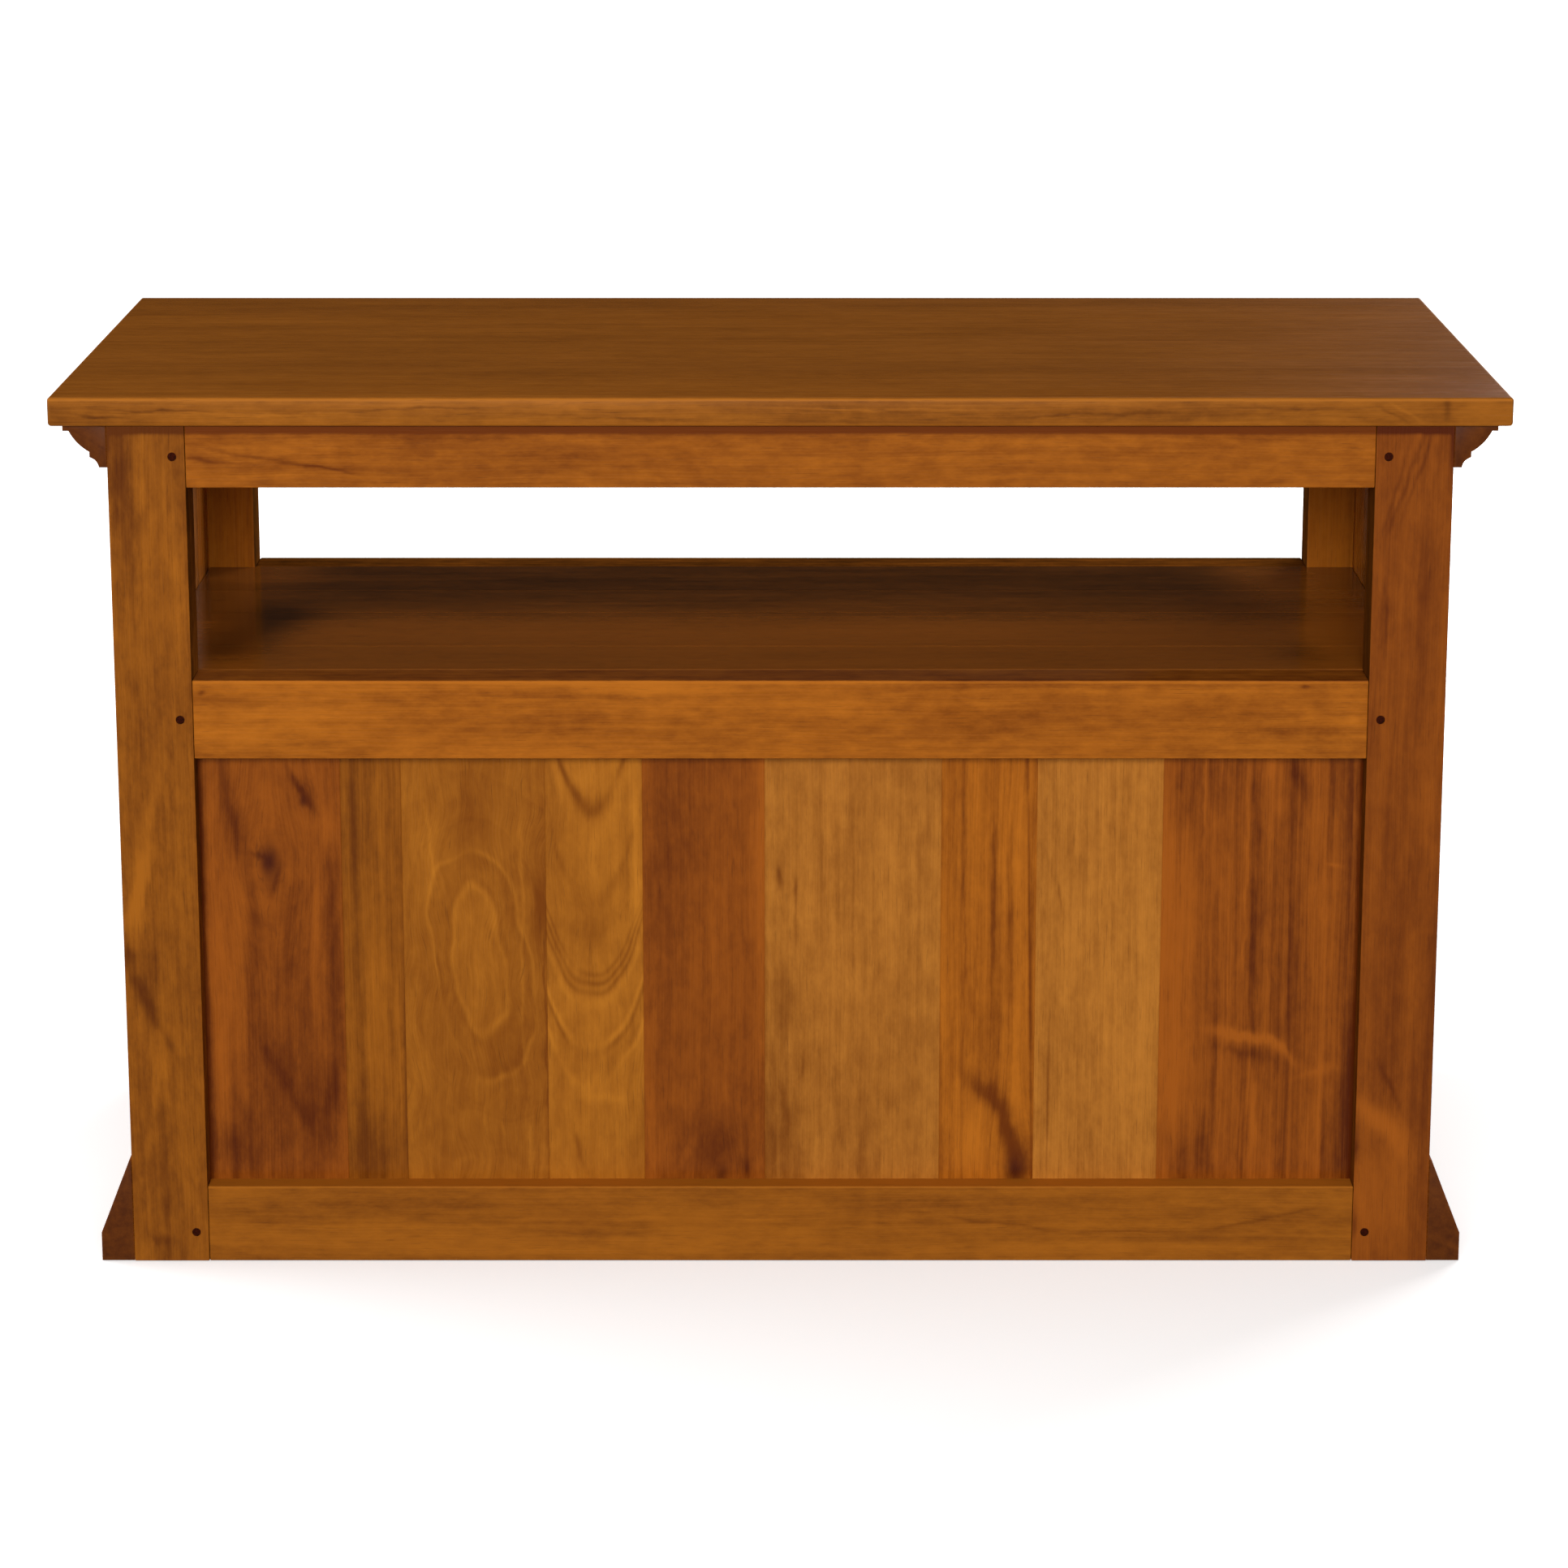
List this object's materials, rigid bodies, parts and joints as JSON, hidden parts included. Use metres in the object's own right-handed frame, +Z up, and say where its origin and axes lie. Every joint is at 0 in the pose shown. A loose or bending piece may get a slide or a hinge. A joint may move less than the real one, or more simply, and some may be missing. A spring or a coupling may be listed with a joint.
{
  "type": "tv cabinet",
  "caption": "Solid wood TV cabinet with an overhanging moulded top, an open niche that runs right through, and a cupboard with hinged panelled doors below.",
  "frame": {"origin": "middle of the footprint of the top, on the floor", "axes": "+X to the right as seen from the front, +Y from the front to the back, +Z up"},
  "size_m": [1.2, 0.55, 0.75],
  "materials": {
    "stained_wood": "satin lacquer over an orange-brown stain",
    "peg_wood": "dark end grain",
    "hinge_brass": "satin",
    "catch_steel": "plated",
    "catch_shell": "moulded"
  },
  "bodies": {
    "carcass": {"top_panel": "stained_wood", "cornice_front": "stained_wood", "cornice_left": "stained_wood", "cornice_right": "stained_wood", "skirting_front": "stained_wood", "skirting_left": "stained_wood", "skirting_right": "stained_wood", "post_back_left": "stained_wood", "post_back_right": "stained_wood", "post_front_left": "stained_wood", "post_front_right": "stained_wood", "rail_back_top": "stained_wood", "rail_back_middle": "stained_wood", "rail_back_bottom": "stained_wood", "rail_front_top": "stained_wood", "rail_front_middle": "stained_wood", "rail_front_bottom": "stained_wood", "rail_side_top_left": "stained_wood", "rail_side_bottom_left": "stained_wood", "rail_side_top_right": "stained_wood", "rail_side_bottom_right": "stained_wood", "panel_back": "stained_wood", "panel_side_left": "stained_wood", "panel_side_right": "stained_wood", "niche_shelf": "stained_wood", "cupboard_floor": "stained_wood", "peg_top_left": "peg_wood", "peg_middle_left": "peg_wood", "peg_bottom_left": "peg_wood", "peg_top_right": "peg_wood", "peg_middle_right": "peg_wood", "peg_bottom_right": "peg_wood", "hinge_left_upper_post_leaf": "hinge_brass", "hinge_left_upper_pin": "hinge_brass", "hinge_left_lower_post_leaf": "hinge_brass", "hinge_left_lower_pin": "hinge_brass", "hinge_right_upper_post_leaf": "hinge_brass", "hinge_right_upper_pin": "hinge_brass", "hinge_right_lower_post_leaf": "hinge_brass", "hinge_right_lower_pin": "hinge_brass", "catch_magnet": "catch_shell"},
    "door_left": {"door_left_hinge_stile": "stained_wood", "door_left_meeting_stile": "stained_wood", "door_left_top_rail": "stained_wood", "door_left_bottom_rail": "stained_wood", "door_left_panel": "stained_wood", "door_left_knob": "stained_wood", "hinge_left_upper_door_leaf": "hinge_brass", "hinge_left_lower_door_leaf": "hinge_brass", "catch_plate_left": "catch_steel"},
    "door_right": {"door_right_hinge_stile": "stained_wood", "door_right_meeting_stile": "stained_wood", "door_right_top_rail": "stained_wood", "door_right_bottom_rail": "stained_wood", "door_right_panel": "stained_wood", "door_right_knob": "stained_wood", "hinge_right_upper_door_leaf": "hinge_brass", "hinge_right_lower_door_leaf": "hinge_brass", "catch_plate_right": "catch_steel"}
  },
  "joints": [
    {"name": "door_left_hinge", "type": "hinge", "parent": "carcass", "child": "door_left", "pos_m": [-0.488, -0.2322, 0.27], "axis": [0, 0, -1], "range_deg": [0, 170]},
    {"name": "door_right_hinge", "type": "hinge", "parent": "carcass", "child": "door_right", "pos_m": [0.488, -0.2322, 0.27], "axis": [0, 0, 1], "range_deg": [0, 170]}
  ]
}
